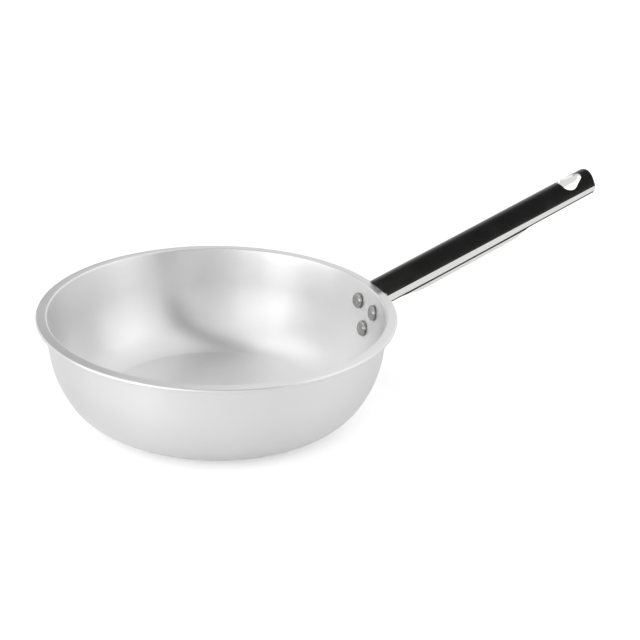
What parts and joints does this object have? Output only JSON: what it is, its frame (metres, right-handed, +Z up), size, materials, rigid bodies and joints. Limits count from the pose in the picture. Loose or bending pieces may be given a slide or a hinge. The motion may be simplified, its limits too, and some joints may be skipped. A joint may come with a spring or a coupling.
{
  "type": "frying pan",
  "caption": "Deep round metal frying pan with a flat base, turned-out lip and a riveted, arched sheet-steel handle with a hanging hole.",
  "frame": {"origin": "middle of the underside of the flat base, where the pan rests", "axes": "+Z up along the bowl's axis, +X towards the end of the handle, XZ is the plane of symmetry"},
  "size_m": [0.4002, 0.24, 0.1346],
  "materials": {
    "aluminium": "satin, spun",
    "steel": "polished stainless steel",
    "rivet": "polished"
  },
  "bodies": {
    "root": {"pan_body": "aluminium", "handle": "steel", "rivet_upper_left": "rivet", "rivet_upper_right": "rivet", "rivet_lower": "rivet"}
  },
  "joints": []
}
